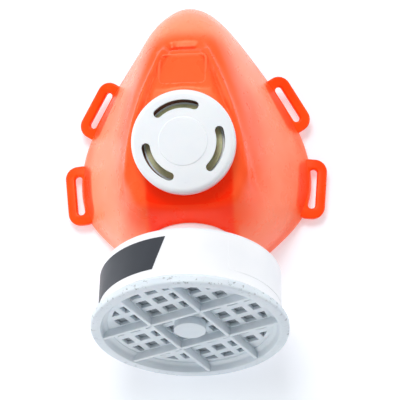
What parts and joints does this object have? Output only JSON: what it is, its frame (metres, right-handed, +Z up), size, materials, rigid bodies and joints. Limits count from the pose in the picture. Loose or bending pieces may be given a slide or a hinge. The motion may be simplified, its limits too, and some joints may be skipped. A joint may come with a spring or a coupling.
{
  "type": "half-mask respirator",
  "caption": "Elastomer half-mask respirator with a vented exhalation-valve cover, strap loops and a screw-on gas cartridge behind a lattice grille.",
  "frame": {"origin": "middle of the bounding box at the table, with the mask lying on its rim and the heel of its cartridge, face opening down", "axes": "+Z up out of the front of the mask, +Y from the chin to the nose, +X to the wearer's left"},
  "size_m": [0.1258, 0.1713, 0.0892],
  "materials": {
    "facepiece_elastomer": "glossy translucent elastomer",
    "loop_elastomer": "glossy elastomer",
    "cover_plastic": "moulded, satin gloss",
    "white_plastic": "moulded, satin gloss",
    "cartridge_plastic": "moulded, satin",
    "grille_plastic": "moulded, satin",
    "valve_silicone": "matt silicone",
    "gasket_rubber": "matt",
    "felt": "needled felt",
    "carbon": "granules",
    "label_film": "coated film",
    "label_dark_film": "coated film"
  },
  "bodies": {
    "facepiece_group": {"facepiece": "facepiece_elastomer", "strap_loop_upper_right": "loop_elastomer", "strap_loop_upper_left": "loop_elastomer", "strap_loop_lower_right": "loop_elastomer", "strap_loop_lower_left": "loop_elastomer", "valve_seat": "white_plastic", "port_adapter": "white_plastic", "port_lock_ring": "white_plastic", "inhalation_seat": "white_plastic"},
    "exhalation_flap": {"exhalation_diaphragm": "valve_silicone"},
    "cover": {"valve_cover": "cover_plastic"},
    "inhalation_flap": {"inhalation_diaphragm": "valve_silicone"},
    "cartridge_carrier": {"cartridge_gasket": "gasket_rubber"},
    "cartridge": {"cartridge_body": "cartridge_plastic", "outlet_screen": "cartridge_plastic", "outlet_felt": "felt", "carbon_bed": "carbon", "dust_filter": "felt", "inlet_screen": "cartridge_plastic", "inlet_felt": "felt", "grille_cap": "grille_plastic", "cartridge_label": "label_film", "label_panel": "label_dark_film"}
  },
  "joints": [
    {"name": "exhalation_flap_lift", "type": "slide", "parent": "facepiece_group", "child": "exhalation_flap", "axis": [0, -0.1392, 0.9903], "range_m": [0, 0.0015], "stiffness_N_per_m": 20},
    {"name": "cover_pull", "type": "slide", "parent": "facepiece_group", "child": "cover", "axis": [0, -0.1392, 0.9903], "range_m": [0, 0.025]},
    {"name": "inhalation_flap_lift", "type": "slide", "parent": "facepiece_group", "child": "inhalation_flap", "axis": [0, 0.9397, -0.342], "range_m": [0, 0.0015], "stiffness_N_per_m": 20, "springref_m": -0.0005},
    {"name": "cartridge_travel", "type": "slide", "parent": "facepiece_group", "child": "cartridge_carrier", "axis": [0, -0.9397, 0.342], "range_m": [0, 0.0121]},
    {"name": "cartridge_turn", "type": "hinge", "parent": "cartridge_carrier", "child": "cartridge", "pos_m": [0, -0.0426, 0.03776], "axis": [0, -0.9397, 0.342], "range_deg": [0, 1080]}
  ],
  "couplings": [
    {"joint": "cartridge_travel", "follows": "cartridge_turn", "m_per_rad": 0.00063662}
  ]
}
